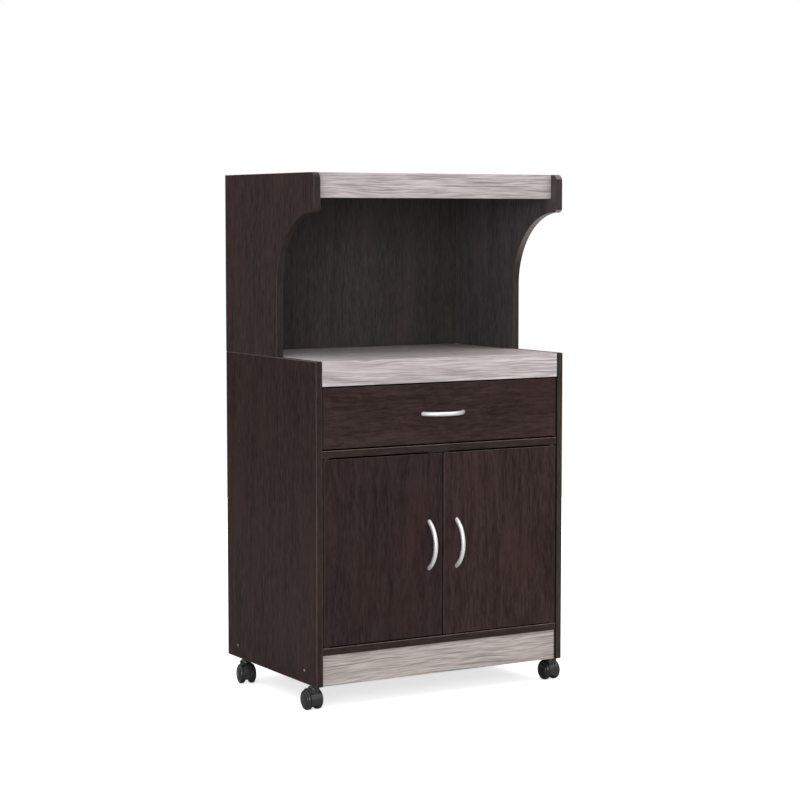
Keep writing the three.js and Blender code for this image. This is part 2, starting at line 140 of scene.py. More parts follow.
POLE_INSET = 4 * MM
POLE_REACH = 0.5 * MM
POLE_THICKNESS = 1.2 * MM
POLE_RISES = (3.4 * MM, 7.6 * MM)

WHEEL_RADIUS = 21 * MM
TREAD_WIDTH = 3.2 * MM
CROWN_STEPS = 8
INNER_CROWN_DEPTH = 8 * MM
INNER_CROWN_RISE = 12 * MM

# A wheel's outer face from the tread inwards: how wide and how deep each dome is, and the widths and depths
# in millimetres of the steps round the cover and the cap.
RIM_CROWN = (4.4 * MM, 4.1 * MM)
RIM_STEPS = ((0.3, -0.5), (0.5, 0.0), (0.3, 0.6))
COVER_CROWN = (8.6 * MM, 2.9 * MM)
CAP_STEPS = ((0.4, -0.4), (0.6, 0.0), (0.4, 0.3), (2.4, 0.1))

HUB_GAP = 2 * MM
WHEEL_BORE_DEPTH = 9 * MM
AXLE_RADIUS = 2.5 * MM
AXLE_SLACK = 0.3 * MM
AXLE_HEIGHT = 21 * MM
WHEEL_GAP = 0.8 * MM
TRAIL = 8 * MM
HOOD_WIDTH = 24 * MM
HOOD_RADIUS = 23.6 * MM
HOOD_WALL = 1.8 * MM
HOOD_ROUND = 1.6 * MM
HOOD_END = math.radians(120)
HOOD_FOOT = 11 * MM
HOOD_LIP = 15 * MM
HOOD_TOP = 50.1 * MM
NECK_RADIUS = 12 * MM
NECK_ROUND = 5 * MM
STEM_PIN_RADIUS = 2.8 * MM
STEM_PIN_END = 32 * MM
BACK_TURN = math.radians(165)


# ---- Working on pieces -----------------------------------------------------------------------

def pick(piece):
    """Makes one piece the only selected one, and the active one."""
    bpy.ops.object.select_all(action="DESELECT")
    piece.select_set(True)
    bpy.context.view_layer.objects.active = piece
    return piece


def settle(piece, name):
    """Names a piece and puts its place, turn and size into its mesh."""
    pick(piece)
    bpy.ops.object.transform_apply(location=True, rotation=True, scale=True)
    piece.name = name
    piece.data.name = name
    return piece


@contextmanager
def shaping(piece, faces=None, edges=None):
    """Edit mode on a piece, with the faces or edges that pass a test selected, or else all of it."""
    pick(piece)
    bpy.ops.object.mode_set(mode="EDIT")
    bpy.ops.mesh.select_mode(type="EDGE" if edges else "FACE")
    bpy.ops.mesh.select_all(action="DESELECT" if faces or edges else "SELECT")
    if faces or edges:
        bpy.ops.object.mode_set(mode="OBJECT")
        mesh = piece.data
        for face in mesh.polygons if faces else ():
            face.select = faces(face.center, face.normal)
        for edge in mesh.edges if edges else ():
            a, b = (mesh.vertices[i].co for i in edge.vertices)
            edge.select = edges(a, b)
        bpy.ops.object.mode_set(mode="EDIT")
    yield
    bpy.ops.object.mode_set(mode="OBJECT")


def apply(piece, kind, **settings):
    """Adds one modifier and applies it."""
    pick(piece)
    modifier = piece.modifiers.new(kind, kind)
    for name, value in settings.items():
        setattr(modifier, name, value)
    bpy.ops.object.modifier_apply(modifier=modifier.name)
    return piece


def smooth(piece, degrees=35):
    """Shades round surfaces smooth, and keeps the large flats flat."""
    pick(piece)
    bpy.ops.object.shade_smooth_by_angle(angle=math.radians(degrees))
    return apply(piece, "WEIGHTED_NORMAL", keep_sharp=True, weight=100)


def ease(piece, width=EDGE_EASE, segments=3, degrees=35, **settings):
    """Rounds the sharp edges over."""
    apply(piece, "BEVEL", width=width, segments=segments, limit_method="ANGLE",
          angle_limit=math.radians(degrees), **settings)
    return smooth(piece)


def round_off(piece, width, segments, test):
    """Rounds over the edges whose two ends pass a test."""
    with shaping(piece, edges=test):
        bpy.ops.mesh.bevel(offset=width, segments=segments, affect="EDGES")


def inset(steps):
    """Insets the selected faces again and again, each time by a width and a depth in millimetres."""
    for thickness, depth in steps:
        bpy.ops.mesh.inset(thickness=thickness * MM, depth=depth * MM)


def carve(piece, *cutters):
    """Cuts other shapes out of a piece and removes them."""
    for cutter in cutters:
        apply(piece, "BOOLEAN", operation="DIFFERENCE", object=cutter, solver="EXACT")
        bpy.data.objects.remove(cutter)
    return piece


def weld(piece, *others):
    """Joins other closed shapes to a piece as one skin."""
    for other in others:
        apply(piece, "BOOLEAN", operation="UNION", object=other, solver="EXACT")
        bpy.data.objects.remove(other)
    return piece


def gather(name, pieces):
    """Makes separate solids one object, such as a set of screws."""
    bpy.ops.object.select_all(action="DESELECT")
    for piece in pieces:
        piece.select_set(True)
    bpy.context.view_layer.objects.active = pieces[0]
    bpy.ops.object.join()
    return settle(pieces[0], name)


def copy(piece, name, matrix):
    """A copy with a mesh of its own, moved by a matrix."""
    made = piece.copy()
    made.data = piece.data.copy()
    bpy.context.scene.collection.objects.link(made)
    made.matrix_world = matrix
    return settle(made, name)


def block(name, low, high):
    """A rectangular blank between two corners."""
    low, high = Vector(low), Vector(high)
    bpy.ops.object.select_all(action="DESELECT")
    bpy.ops.mesh.primitive_cube_add(size=1, location=(low + high) / 2)
    piece = bpy.context.active_object
    piece.scale = high - low
    return settle(piece, name)


def rod(name, radius, start, end, sides=48):
    """A round blank between two points."""
    start, end = Vector(start), Vector(end)
    run = end - start
    bpy.ops.object.select_all(action="DESELECT")
    bpy.ops.mesh.primitive_cylinder_add(
        vertices=sides, radius=radius, depth=run.length, location=(start + end) / 2,
        rotation=run.to_track_quat("Z", "Y").to_euler())
    return settle(bpy.context.active_object, name)


def fit(piece, body, slot, finishes, *nodes):
    """Hangs a finished piece on its body, in the place of CAD nodes."""
    piece.data.materials.clear()
    for finish in finishes if isinstance(finishes, tuple) else (finishes,):
        piece.data.materials.append(finish)
    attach(piece, body)
    if nodes:
        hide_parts(*nodes)
    return piece


# ---- Camera, light and floor -----------------------------------------------------------------

CAMERA_PLACE = (-2.3636, -4.0369, 1.0007)
CAMERA_TILT = math.radians(90 - 4.758)
CAMERA_TURN = math.radians(-30.469)
CAMERA_LENS = 98.223
CAMERA_SHIFT = -0.0022
FAR_CLIP = 60

# Each soft lamp's name, place, aim, size and power.
SOFTBOXES = (
    ("key", (-2.8, -4.0, 1.5), (0, 0, 0.8), (2.8, 2.0), 116),
    ("strip", (2.2, -4.0, 1.3), (0, 0, 0.5), (0.3, 1.8), 10),
    ("fill", (1.7, -2.0, 1.7), (0, 0, 0.7), (1.6, 1.6), 7),
    ("top", (1.2, -0.6, 3.8), (0, 0, 0.6), (3.6, 3.6), 42),
)
OVERHEAD_POWER = 2.2
OVERHEAD_SPREAD = math.radians(110)
AMBIENT = 0.22
FLOOR_RADIUS = 3.2
FLOOR_WHITE = (0.95, 0.95, 0.95)
FLOOR_BOUNCE = (0.52, 0.52, 0.52)
FLOOR_GLOW = 0.7


def camera():
    data = bpy.data.cameras.new("camera")
    data.lens = CAMERA_LENS
    data.shift_x = CAMERA_SHIFT
    data.clip_end = FAR_CLIP
    eye = bpy.data.objects.new("camera", data)
    bpy.context.scene.collection.objects.link(eye)
    eye.location = CAMERA_PLACE
    eye.rotation_euler = (CAMERA_TILT, 0, CAMERA_TURN)
    bpy.context.scene.camera = eye


def softbox(name, place, aim, size, power):
    data = bpy.data.lights.new(name, "AREA")
    data.shape = "RECTANGLE"
    data.size, data.size_y = size
    data.energy = power
    lamp = bpy.data.objects.new(name, data)
    bpy.context.scene.collection.objects.link(lamp)
    lamp.location = place
    lamp.rotation_euler = (Vector(aim) - Vector(place)).to_track_quat("-Z", "Y").to_euler()


def studio():
    """Soft light from above and both sides over a white floor. The world looks white and lights dimly."""
    for lamp in SOFTBOXES:
        softbox(*lamp)
    data = bpy.data.lights.new("overhead", "SUN")
    data.energy = OVERHEAD_POWER
    data.angle = OVERHEAD_SPREAD
    overhead = bpy.data.objects.new("overhead", data)
    bpy.context.scene.collection.objects.link(overhead)

    world = bpy.data.worlds.new("studio")
    bpy.context.scene.world = world
    world.use_nodes = True
    tree = world.node_tree
    tree.nodes.clear()
    path = tree.nodes.new("ShaderNodeLightPath")
    seen, ambient = (tree.nodes.new("ShaderNodeBackground") for _ in range(2))
    seen.inputs["Color"].default_value = ambient.inputs["Color"].default_value = (1, 1, 1, 1)
    ambient.inputs["Strength"].default_value = AMBIENT
    mix = tree.nodes.new("ShaderNodeMixShader")
    out = tree.nodes.new("ShaderNodeOutputWorld")
    tree.links.new(path.outputs["Is Camera Ray"], mix.inputs[0])
    tree.links.new(ambient.outputs[0], mix.inputs[1])
    tree.links.new(seen.outputs[0], mix.inputs[2])
    tree.links.new(mix.outputs[0], out.inputs[0])

    bpy.ops.object.select_all(action="DESELECT")
    bpy.ops.mesh.primitive_circle_add(vertices=96, radius=FLOOR_RADIUS, fill_type="NGON")
    floor = settle(bpy.context.active_object, "floor")
    paint = Finish("studio_floor", 0.6, specular=0.1)
    seen = paint.node("LightPath")
    paint.colour(paint.tint(seen, FLOOR_BOUNCE, FLOOR_WHITE))
    paint.shader.inputs["Emission Color"].default_value = (1, 1, 1, 1)
    glow = paint.node("Math", {0: seen, 1: FLOOR_GLOW}, operation="MULTIPLY")
    paint.tree.links.new(glow, paint.shader.inputs["Emission Strength"])
    floor.data.materials.append(paint.material)
    bpy.context.scene.view_settings.view_transform = "Standard"


# ---- Finishes --------------------------------------------------------------------------------

class Finish:
    """A material whose shader nodes are being put together."""

    def __init__(self, name, roughness, metallic=0.0, specular=0.5):
        self.material = bpy.data.materials.new(name)
        self.material.use_nodes = True
        self.tree = self.material.node_tree
        self.shader = self.tree.nodes["Principled BSDF"]
        self.shader.inputs["Roughness"].default_value = roughness
        self.shader.inputs["Metallic"].default_value = metallic
        self.shader.inputs["Specular IOR Level"].default_value = specular

    def node(self, kind, inputs=(), output=0, **settings):
        """Adds a node, sets or links its inputs, and gives one of its outputs."""
        node = self.tree.nodes.new("ShaderNode" + kind)
        for name, value in settings.items():
            setattr(node, name, value)
        for key, value in dict(inputs).items():
            if isinstance(value, bpy.types.NodeSocket):
                self.tree.links.new(value, node.inputs[key])
            else:
                node.inputs[key].default_value = value
        return node.outputs[output]

    def sheet(self):
        """Where a point lies on a board's printed sheet: across the grain, along it, and its depth."""
        return self.node("Attribute", output="Vector", attribute_name="grain")

    def place(self):
        return self.node("TexCoord", output="Object")

    def noise(self, place, waves, detail=3.0, roughness=0.5, distortion=0.0):
        """Noise with so many waves per metre along each axis of the place."""
        scaled = self.node("VectorMath", {0: place, 1: waves}, operation="MULTIPLY")
        return self.node("TexNoise", {"Vector": scaled, "Scale": 1.0, "Detail": detail,
                                      "Roughness": roughness, "Distortion": distortion})

    def levels(self, value, low, high, out_low=0.0, out_high=1.0):
        """Stretches the part of a value between two levels to another range."""
        return self.node("MapRange", {"Value": value, "From Min": low, "From Max": high,
                                      "To Min": out_low, "To Max": out_high})

    def tint(self, amount, first, second):
        """A colour between two colours."""
        sockets = {0: amount, 6: first, 7: second}
        for key in (6, 7):
            if not isinstance(sockets[key], bpy.types.NodeSocket):
                sockets[key] = (*sockets[key], 1)
        return self.node("Mix", sockets, output=2, data_type="RGBA")

    def colour(self, value):
        if isinstance(value, bpy.types.NodeSocket):
            self.tree.links.new(value, self.shader.inputs["Base Color"])
        else:
            self.shader.inputs["Base Color"].default_value = (*value, 1)

    def rough(self, value):
        self.tree.links.new(value, self.shader.inputs["Roughness"])

    def relief(self, height, depth, strength=1.0):
        """Raises the surface by a height from 0 to 1, so many metres deep."""
        normal = self.node("Bump", {"Height": height, "Distance": depth, "Strength": strength})
        self.tree.links.new(normal, self.shader.inputs["Normal"])


# The heights between which a print fades to a painted reflection, a light grey upper colour, on the right
# hutch side's curve.
REFLECTION_FADE_START = 0.90
REFLECTION_FADE_END = 1.01


def espresso_print(name, dark, light, roughness, specular=0.05, upper=None):
    """Dark melamine: a brown print with short fine ticks along the grain and cloudy warmer patches. It can
    fade to an upper colour towards the top: a painted reflection."""
    finish = Finish(name, roughness, specular=specular)
    sheet = finish.sheet()
    ticks = finish.noise(sheet, (240, 34, 60), detail=4, roughness=0.6, distortion=0.3)
    streaks = finish.noise(sheet, (70, 5, 40), detail=3, roughness=0.55, distortion=0.3)
    clouds = finish.noise(sheet, (11, 5, 9), detail=2, roughness=0.5)
    pores = finish.noise(sheet, (900, 60, 200), detail=2, roughness=0.6)
    grain = finish.node("Mix", {0: 0.35, 2: ticks, 3: streaks}, data_type="FLOAT")
    base = finish.tint(finish.levels(grain, 0.38, 0.62), dark, light)
    warm = tuple(c * k for c, k in zip(light, (1.2, 0.98, 0.92)))
    base = finish.tint(finish.levels(clouds, 0.48, 0.78, 0.0, 0.55), base, warm)
    fine = finish.levels(pores, 0.58, 0.7, 0.0, 0.5)
    base = finish.tint(fine, base, tuple(c * 0.45 for c in dark))
    # Painted reflection: towards the top the print fades to the upper colour, a light grey sheen.
    if upper:
        height = finish.node("SeparateXYZ", {0: finish.place()}, output=2)
        base = finish.tint(finish.levels(height, REFLECTION_FADE_START, REFLECTION_FADE_END), base, upper)
    finish.colour(base)
    finish.rough(finish.levels(grain, 0.3, 0.7, roughness + 0.05, roughness - 0.05))
    finish.relief(finish.node("Math", {0: grain, 1: fine}, operation="SUBTRACT"), 0.03 * MM, 0.5)
    return finish.material


def oak_print(name, light, dark, line):
    """Grey oak print: dense fine grain that sways a little along the board, with thin darker lines in it."""
    finish = Finish(name, 0.5, specular=0.2)
    sheet = finish.sheet()
    sway = finish.levels(finish.noise(sheet, (16, 4.5, 16), detail=2), 0.25, 0.75, -5 * MM, 5 * MM)
    swayed = finish.node("VectorMath", {0: sheet, 1: finish.node("CombineXYZ", {0: sway})}, operation="ADD")
    fine = finish.levels(finish.noise(swayed, (360, 15, 60), detail=2, roughness=0.6), 0.40, 0.60)
    grain = finish.levels(finish.noise(swayed, (250, 6, 40), detail=3, roughness=0.6), 0.39, 0.61)
    hairs = finish.noise(swayed, (300, 4, 50), detail=2, roughness=0.6)
    bands = finish.noise(swayed, (50, 2.5, 30), detail=2)
    mixed = finish.node("Mix", {0: 0.42, 2: fine, 3: grain}, data_type="FLOAT")
    base = finish.tint(mixed, dark, light)
    base = finish.tint(finish.levels(hairs, 0.42, 0.34, 0.0, 0.85), base, line)
    finish.colour(finish.tint(finish.levels(bands, 0.45, 0.75, 0.0, 0.35), base, dark))
    finish.relief(mixed, 0.05 * MM, 0.5)
    return finish.material


def chipboard():
    """Bare particle board where a board isn't edged: pressed chips, dark specks and open pores."""
    finish = Finish("bare_chipboard", 0.9, specular=0.2)
    place = finish.place()
    chips = finish.node("TexVoronoi", {"Vector": place, "Scale": 620.0}, output="Color")
    specks = finish.noise(place, (900, 900, 900), detail=2)
    shade = finish.node("SeparateColor", {0: chips})
    base = finish.tint(shade, (0.30, 0.20, 0.115), (0.52, 0.38, 0.24))
    finish.colour(finish.tint(finish.levels(specks, 0.6, 0.7, 0.0, 0.8), base, (0.10, 0.06, 0.035)))
    finish.relief(specks, 0.25 * MM, 0.8)
    return finish.material


def hardboard():
    """The back panels' outer face: smooth brown fibre board."""
    finish = Finish("bare_hardboard", 0.7, specular=0.3)
    place = finish.place()
    fibres = finish.noise(place, (420, 420, 420), detail=6, roughness=0.7, distortion=1.2)
    clouds = finish.noise(place, (14, 14, 14), detail=3)
    base = finish.tint(finish.levels(fibres, 0.35, 0.65), (0.145, 0.082, 0.045), (0.235, 0.145, 0.085))
    finish.colour(finish.tint(finish.levels(clouds, 0.4, 0.7, 0, 0.35), base, (0.12, 0.07, 0.042)))
    finish.relief(fibres, 0.06 * MM, 0.6)
    return finish.material


def metal(name, colour, roughness, brush, depth, metallic=1.0):
    """Metal with fine marks: brush is how many marks there are per metre along X, Y and Z."""
    finish = Finish(name, roughness, metallic=metallic)
    place = finish.place()
    marks = finish.noise(place, brush, detail=4, roughness=0.6)
    smudge = finish.noise(place, (60, 60, 60), detail=2)
    finish.colour(finish.tint(finish.levels(marks, 0.3, 0.7), tuple(c * 0.93 for c in colour), colour))
    finish.rough(finish.levels(smudge, 0.3, 0.7, roughness - 0.04, roughness + 0.06))
    finish.relief(marks, depth, 0.6)
    return finish.material


def moulded(name, colour, roughness):
    """Moulded plastic or baked paint: an even colour with a fine pebble and a little wear in the gloss."""
    finish = Finish(name, roughness)
    place = finish.place()
    pebble = finish.noise(place, (1500, 1500, 1500), detail=2)
    rub = finish.noise(place, (110, 110, 110), detail=3)
    rubbed = tuple(min(1, c * 1.25) for c in colour)
    finish.colour(finish.tint(finish.levels(rub, 0.35, 0.75), colour, rubbed))
    finish.rough(finish.levels(rub, 0.3, 0.7, roughness - 0.06, roughness + 0.08))
    finish.relief(pebble, 0.02 * MM, 0.4)
    return finish.material


studio()
camera()

espresso = espresso_print("espresso_melamine", (0.021, 0.0128, 0.0116), (0.048, 0.0302, 0.0280), 0.45)
# Painted shade: a darker copy of the print for the left door's faces.
espresso_door_painted_shade = espresso_print(
    "espresso_left_door", (0.0165, 0.0102, 0.0095), (0.038, 0.0245, 0.0230), 0.45)
# Painted light: a lighter copy of the print for the faces of the hutch sides.
espresso_hutch_painted_light = espresso_print("espresso_hutch", (0.027, 0.0178, 0.0170), (0.060, 0.0405, 0.0390), 0.45)
# Painted light: a lighter, greyer copy of the print for the hutch sides' inner faces, standing in for light
# bounced into the bay.
espresso_bay_painted_light = espresso_print("espresso_hutch_inside_painted_light", (0.054, 0.046, 0.049), (0.096, 0.084, 0.089), 0.45)
espresso_edge = espresso_print("espresso_edging", (0.0235, 0.0148, 0.0128), (0.042, 0.0285, 0.0250), 0.42)
# Painted shade: a darker copy of the print for the left hutch side's narrow sides and nose.
espresso_left_edge_painted_shade = espresso_print(
    "espresso_left_nose_painted_shade", (0.019, 0.0135, 0.0122), (0.036, 0.026, 0.024), 0.4, 0.1)
# Painted highlight: a lighter, glossier copy of the print for the right nose's front and top.
espresso_nose_painted_highlight = espresso_print(
    "espresso_right_nose_painted_highlight", (0.026, 0.0185, 0.0168), (0.048, 0.035, 0.032), 0.35, 0.2)
# Painted reflection: the curve's edging fades to light grey towards the top of the curve.
espresso_arch_painted_reflection = espresso_print(
    "espresso_curve_edging_painted_reflection", (0.024, 0.0155, 0.0135), (0.044, 0.030, 0.026), 0.35, 0.2,
    upper=(0.26, 0.235, 0.225))
# Painted shade: a near-black copy of the print for narrow sides and faces seen in the gaps between fronts.
espresso_painted_shade_gap = espresso_print("espresso_gap_edging", (0.005, 0.0035, 0.003), (0.009, 0.006, 0.0055), 0.5)
# Painted light: a lighter, greyer copy of the print for the right lower side's narrow sides.
espresso_post_painted_light = espresso_print(
    "espresso_right_edging_painted_light", (0.028, 0.0215, 0.0170), (0.054, 0.043, 0.0355), 0.42)
# Painted highlight: a lighter copy of the print for rounded edges.
espresso_line_painted_highlight = espresso_print(
    "espresso_rounded_edge_painted_highlight", (0.050, 0.038, 0.034), (0.080, 0.064, 0.057), 0.35)
# Painted highlight: a lighter copy of the print for the right door's rounded edges.
espresso_painted_highlight_meet = espresso_print(
    "espresso_meeting_edge", (0.075, 0.058, 0.052), (0.115, 0.092, 0.084), 0.35)
# Painted highlight: a much lighter copy of the print for rounded edges that face up.
espresso_top_painted_highlight = espresso_print("espresso_top_edge_painted_highlight", (0.14, 0.115, 0.105), (0.21, 0.175, 0.16), 0.35)
drawer_foil = espresso_print("drawer_foil", (0.024, 0.015, 0.013), (0.040, 0.026, 0.023), 0.5)
oak = oak_print("grey_oak_melamine", (0.665, 0.596, 0.60), (0.343, 0.298, 0.30), (0.245, 0.206, 0.206))
# Painted shade: a darker copy of the oak print for the hutch fascia.
oak_hutch_painted_shade = oak_print("grey_oak_hutch_painted_shade", (0.605, 0.545, 0.55), (0.312, 0.272, 0.274), (0.222, 0.188, 0.188))
# Painted shade: a darker, warmer copy of the oak print for the kick board low down.
oak_kick_painted_shade = oak_print("grey_oak_kick_painted_shade", (0.58, 0.52, 0.50), (0.30, 0.26, 0.245), (0.21, 0.175, 0.16))
bare = chipboard()
fibre = hardboard()
back_print = espresso_print("back_panel_print", (0.040, 0.033, 0.033), (0.066, 0.056, 0.057), 0.5)

# A board's finishes: its faces, its narrow sides, its rounded edges, and the rounded edges that face up. Many
# are copies of the print made lighter for painted highlights or darker for painted shade.
dark_board = (espresso, espresso_edge, espresso_line_painted_highlight, espresso_top_painted_highlight)
right_board = (espresso, espresso_post_painted_light, espresso_line_painted_highlight, espresso_top_painted_highlight)
hutch_left_board = (espresso_hutch_painted_light, espresso_left_edge_painted_shade, espresso_line_painted_highlight, espresso_line_painted_highlight)
hutch_right_board = (espresso_hutch_painted_light, espresso_arch_painted_reflection, espresso_line_painted_highlight, espresso_line_painted_highlight)
# The divider and bottom panel: their faces take the near-black painted shade, their rounded top edges a
# painted highlight.
level_board = (espresso_painted_shade_gap, espresso_edge, espresso_edge, espresso_top_painted_highlight)
front_panel = (espresso, espresso_painted_shade_gap, espresso_edge, espresso_line_painted_highlight)
left_panel = (espresso_door_painted_shade, espresso_painted_shade_gap, espresso_edge, espresso_line_painted_highlight)
# The right door's rounded edges take a lighter copy of the print, painted highlight.
right_panel = (espresso, espresso_painted_shade_gap, espresso_painted_highlight_meet, espresso_line_painted_highlight)
light_board = (oak,) * 4
upper_board = (oak_hutch_painted_shade,) * 4
kick_finish = (oak_kick_painted_shade,) * 4
foil_board = (drawer_foil,) * 4
thin_board = (back_print, fibre, fibre, fibre)
nickel = metal("satin_nickel", (0.86, 0.84, 0.83), 0.36, (900, 900, 900), 0.01 * MM, 0.55)
zinc = metal("bright_zinc", (0.66, 0.68, 0.71), 0.36, (500, 500, 500), 0.02 * MM)
white_coat = moulded("epoxy_coat", (0.74, 0.72, 0.68), 0.4)
bronze = moulded("bronze_coat", (0.035, 0.027, 0.024), 0.45)
nylon = moulded("black_nylon", (0.016, 0.016, 0.0165), 0.2)
grey_nylon = moulded("grey_nylon", (0.17, 0.17, 0.175), 0.5)
white_nylon = moulded("roller_nylon", (0.70, 0.69, 0.66), 0.45)


# ---- Boards ----------------------------------------------------------------------------------

# How far apart two boards lie on the printed sheet, across the grain and, as a share of that, along it.
SHEET_STEP = 0.83
SHEET_SKEW = 0.37


def lay_grain(piece, along, shift):
    """Stores each corner's place on the printed sheet. along is the axis the grain runs along."""
    mesh = piece.data
    spans = [max(v.co[axis] for v in mesh.vertices) - min(v.co[axis] for v in mesh.vertices)
             for axis in range(3)]
    sheet = mesh.attributes.new("grain", "FLOAT_VECTOR", "CORNER")
    for face in mesh.polygons:
        flat = max(range(3), key=lambda axis: abs(face.normal[axis]))
        run = along if flat != along else max((a for a in range(3) if a != flat), key=spans.__getitem__)
        across = 3 - flat - run
        for corner in face.loop_indices:
            at = mesh.vertices[mesh.loops[corner].vertex_index].co
            sheet.data[corner].vector = (at[across] + shift, at[run] + SHEET_SKEW * shift, at[flat])


def laminate(piece, along, shift, finishes, bare_sides=()):
    """Gives a board its print, its edging or a painted shade on the narrow sides, its third and fourth
    finishes on the edges that are rounded over (mostly painted highlights), and bare chipboard on some sides."""
    mesh = piece.data
    spans = [max(v.co[a] for v in mesh.vertices) - min(v.co[a] for v in mesh.vertices) for a in range(3)]
    thin = spans.index(min(spans))
    mesh.materials.clear()
    for finish in (*finishes, bare):
        mesh.materials.append(finish)
    for face in mesh.polygons:
        flat = max(range(3), key=lambda axis: abs(face.normal[axis]))
        facing = ("-" if face.normal[flat] < 0 else "+") + "xyz"[flat]
        rounded = 0.2 < abs(face.normal[thin]) < 0.98
        if facing in bare_sides:
            face.material_index = len(finishes)
        # Rounded edges take the third finish and upward ones the fourth, mostly lighter copies of the print:
        # painted highlights.
        elif rounded and face.normal.z > -0.3:
            face.material_index = 3 if face.normal.z > 0.3 else 2
        else:
            face.material_index = 0 if flat == thin else 1
    lay_grain(piece, along, shift)
    return piece


printed = []


def hang_board(piece, node, body, along, finishes, bare_sides=()):
    """Finishes a board, each with its own part of the print, and hangs it in the place of its CAD node."""
    printed.append(node)
    laminate(piece, along, SHEET_STEP * len(printed), finishes, bare_sides)
    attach(piece, body)
    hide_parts(node)
    return piece


def plain_board(node, along, finishes, body="cabinet", bare_sides=(), width=EDGE_EASE):
    piece = ease(block(f"{node}_board", *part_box(node)), width)
    return hang_board(piece, node, body, along, finishes, bare_sides)


def refinish(piece, finish, test):
    """Gives another finish to the faces whose centre and normal pass a test."""
    piece.data.materials.append(finish)
    for face in piece.data.polygons:
        if test(face.center, face.normal):
            face.material_index = len(piece.data.materials) - 1


def grow(box, x=0.0, y=0.0, z=0.0):
    """A box made larger on both sides along each axis."""
    low, high = box
    return low - Vector((x, y, z)), high + Vector((x, y, z))


def middle(node):
    low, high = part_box(node)
    return (low + high) / 2


# The head of a connecting screw, sunk in the face of a side board over the middle of a rail.
SIDE_SCREW_RADIUS = 2.6 * MM
SIDE_SCREW_SLACK = 0.35 * MM
SIDE_SCREW_HOLE_DEPTH = 2 * MM
SIDE_SCREW_HEIGHT = 1.9 * MM
SIDE_SCREW_SINK = 0.1 * MM
SIDE_SCREW_ROUND = 0.35 * MM
HEX_RADIUS = 1.7 * MM
HEX_DEPTH = 1.6 * MM


def side_screw_places(side):
    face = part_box("lower_side_left" if side < 0 else "lower_side_right")[0 if side < 0 else 1].x
    return [Vector((face, middle(rail).y, middle(rail).z)) for rail in ("front_rail", "back_rail")]


def lower_side(label, side):
    """A side board with its holes for screws, casters and shelf pins."""
    node = f"lower_side_{label}"
    low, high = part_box(node)
    piece = ease(block(f"{node}_board", low, high), SIDE_EASE)
    inner = high.x if side < 0 else low.x
    outwards = X * side
    holes = []
    for place in side_screw_places(side):
        radius = SIDE_SCREW_RADIUS + SIDE_SCREW_SLACK
        holes.append(rod("hole", radius, place - outwards * SIDE_SCREW_HOLE_DEPTH, place + outwards * PAST))
    for depth in ("front", "back"):
        pin = middle(f"shelf_pin_{depth}_{label}")
        for row in (-1, 0, 1):
            start = Vector((inner, pin.y, pin.z + row * PIN_ROW_SPACING))
            end = start + outwards * PIN_HOLE_DEPTH
            holes.append(rod("hole", PIN_HOLE_RADIUS, end, start - outwards * PAST, 32))
        stem = middle(f"caster_stem_{depth}_{label}")
        top = (stem.x, stem.y, low.z + STEM_HOLE_DEPTH)
        holes.append(rod("hole", STEM_HOLE_RADIUS, top, (stem.x, stem.y, low.z - PAST), 32))
    smooth(carve(piece, *holes))
    # The right side's narrow sides take a lighter copy of the print, painted light.
    finishes = dark_board if side < 0 else right_board
    hang_board(piece, node, "cabinet", 2, finishes, ("-z", "+y"))
    # Painted shade: the right side's rounded inner front edge, beside the doors' gap, takes the near-black
    # copy of the print.
    if side > 0:
        refinish(piece, espresso_painted_shade_gap, lambda centre, normal: -0.98 < normal.x < -0.2 and normal.y < -0.2)


def nose_corner(low, high, level, up, radius):
    """What a round corner at the front of a board leaves away: a block less a rod."""
    left, right = low.x - PAST, high.x + PAST
    ends = sorted((level - up * PAST, level + up * radius))
    corner = block("corner", (left, low.y - PAST, ends[0]), (right, low.y + radius, ends[1]))
    centre = (low.y + radius, level + up * radius)
    return carve(corner, rod("round", radius, (left - PAST, *centre), (right + PAST, *centre), 96))


